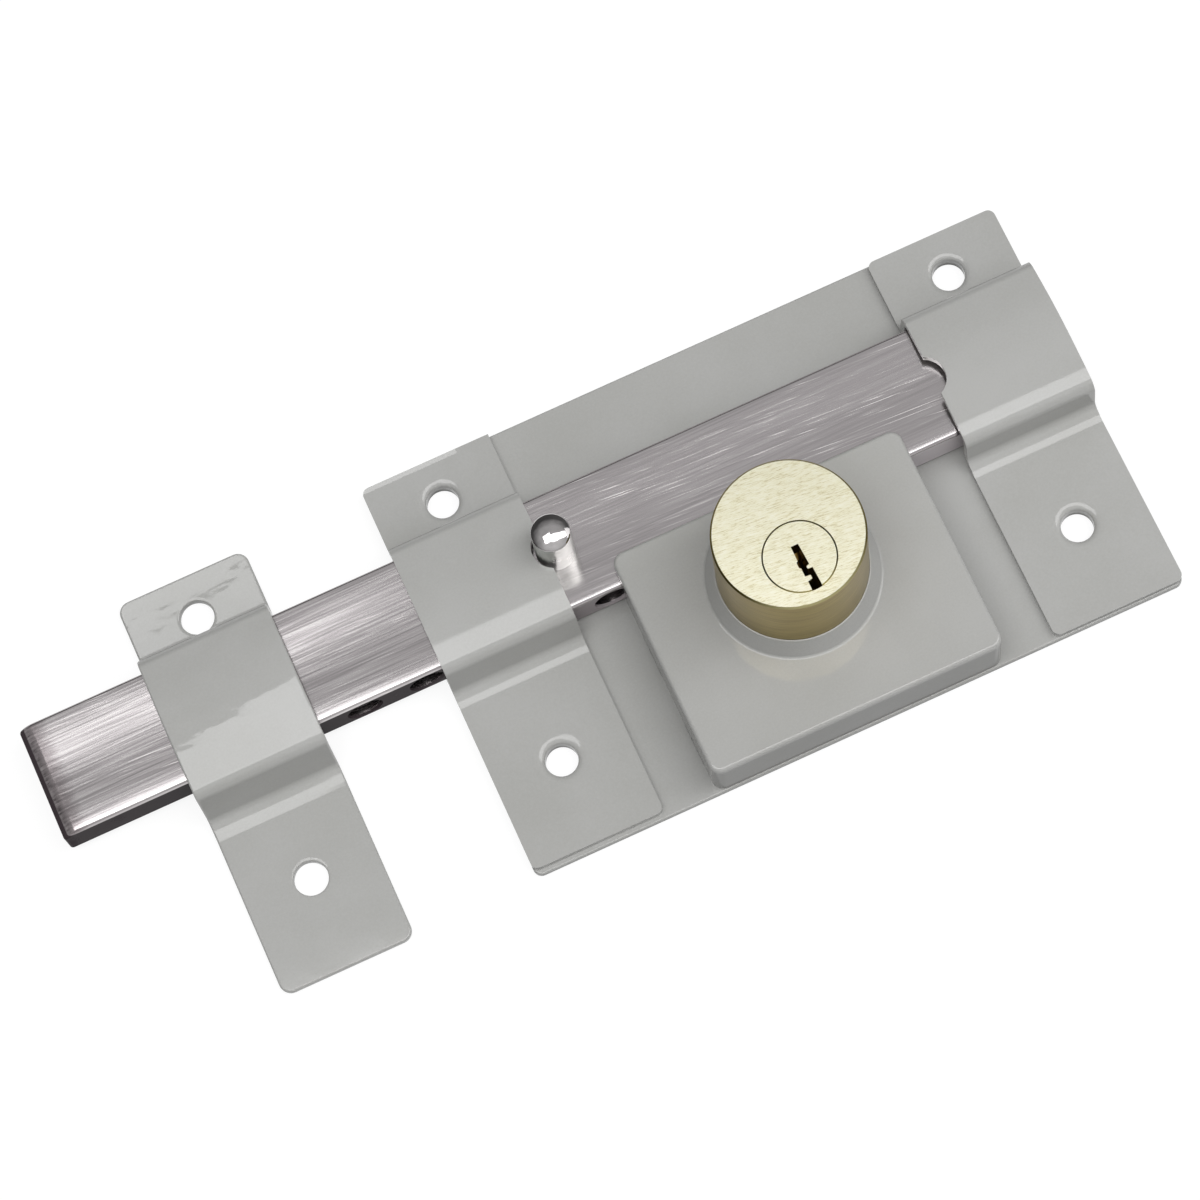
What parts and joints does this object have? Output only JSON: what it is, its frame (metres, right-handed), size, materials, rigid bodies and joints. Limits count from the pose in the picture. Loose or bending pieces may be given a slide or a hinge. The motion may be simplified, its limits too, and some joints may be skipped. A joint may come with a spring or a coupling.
{
  "type": "roller shutter bar lock",
  "caption": "Surface-mounted bar lock: a flat steel bar slides under straps on a base plate and is locked by a brass key cylinder in a raised box, with a separate keeper strap.",
  "frame": {"origin": "middle of the base plate's back face, which lies against the shutter", "axes": "+X along the bar, away from the keeper; +Y from the lock box towards the bar's side of the plate; +Z out of the shutter, along the key cylinder"},
  "size_m": [0.2005, 0.08, 0.0354],
  "materials": {
    "grey_paint": "smooth semi-gloss grey enamel",
    "bar_steel": "brushed lengthwise",
    "knob_steel": "polished",
    "brass": "fine turned and brushed",
    "pin_brass": "turned",
    "inner_steel": "plain zinc-plated"
  },
  "bodies": {
    "lock": {"base_plate": "grey_paint", "left_strap": "grey_paint", "right_strap": "grey_paint", "keeper": "grey_paint", "lock_box": "grey_paint", "guard_ring": "grey_paint", "cylinder_body": "brass", "driver_pins": "pin_brass", "pin_springs": "inner_steel", "chamber_caps": "pin_brass", "back_plate": "inner_steel", "back_plate_screws": "inner_steel", "plunger_guide": "inner_steel", "guide_rivets": "inner_steel"},
    "slide_bar": {"bar": "bar_steel", "knob_pin": "knob_steel"},
    "key_plug": {"plug": "brass", "key_pins": "pin_brass", "plug_clip": "inner_steel", "cam": "inner_steel", "cam_screw": "inner_steel", "drive_pin": "inner_steel"},
    "plunger": {"locking_plunger": "inner_steel"}
  },
  "joints": [
    {"name": "bar_slide", "type": "slide", "parent": "lock", "child": "slide_bar", "axis": [1, 0, 0], "range_m": [0, 0.0726]},
    {"name": "key_turn", "type": "hinge", "parent": "lock", "child": "key_plug", "pos_m": [0, -0.016, 0.03], "axis": [0, 0, -1], "range_deg": [0, 90]},
    {"name": "plunger_throw", "type": "slide", "parent": "lock", "child": "plunger", "axis": [0, 1, 0], "range_m": [0, 0.00594]}
  ],
  "couplings": [
    {"joint": "plunger_throw", "follows": "key_turn", "m_per_rad": 0.003781}
  ]
}
